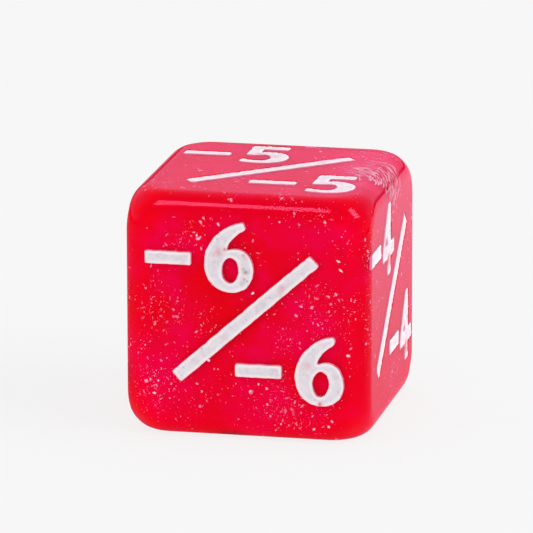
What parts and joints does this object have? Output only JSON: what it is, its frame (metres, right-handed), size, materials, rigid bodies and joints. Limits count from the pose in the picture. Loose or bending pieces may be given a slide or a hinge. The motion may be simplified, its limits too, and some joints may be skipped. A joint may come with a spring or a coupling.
{
  "type": "six-sided counter die",
  "caption": "Rounded cube-shaped game counter in clear red glitter resin, with a slashed pair of negative numbers engraved in each face and filled with white paint.",
  "frame": {"origin": "middle of the bottom face, on the surface the die rests on", "axes": "+Z out of the top face (the fives); -Y out of the front face (the sixes); +X out of the right face (the fours)"},
  "size_m": [0.016, 0.016, 0.016],
  "materials": {
    "red_resin": "clear red cast resin with glitter, tumble polished",
    "white_paint": "matt white paint, slightly uneven, with small pits"
  },
  "bodies": {
    "root": {"die_body": "red_resin", "back_lower_minus": "white_paint", "back_lower_one": "white_paint", "back_slash": "white_paint", "back_upper_minus": "white_paint", "back_upper_one": "white_paint", "bottom_lower_minus": "white_paint", "bottom_lower_two": "white_paint", "bottom_slash": "white_paint", "bottom_upper_minus": "white_paint", "bottom_upper_two": "white_paint", "front_lower_minus": "white_paint", "front_lower_six": "white_paint", "front_slash": "white_paint", "front_upper_minus": "white_paint", "front_upper_six": "white_paint", "left_lower_minus": "white_paint", "left_lower_three": "white_paint", "left_slash": "white_paint", "left_upper_minus": "white_paint", "left_upper_three": "white_paint", "right_lower_four": "white_paint", "right_lower_minus": "white_paint", "right_slash": "white_paint", "right_upper_four": "white_paint", "right_upper_minus": "white_paint", "top_lower_five": "white_paint", "top_lower_minus": "white_paint", "top_slash": "white_paint", "top_upper_five": "white_paint", "top_upper_minus": "white_paint"}
  },
  "joints": []
}
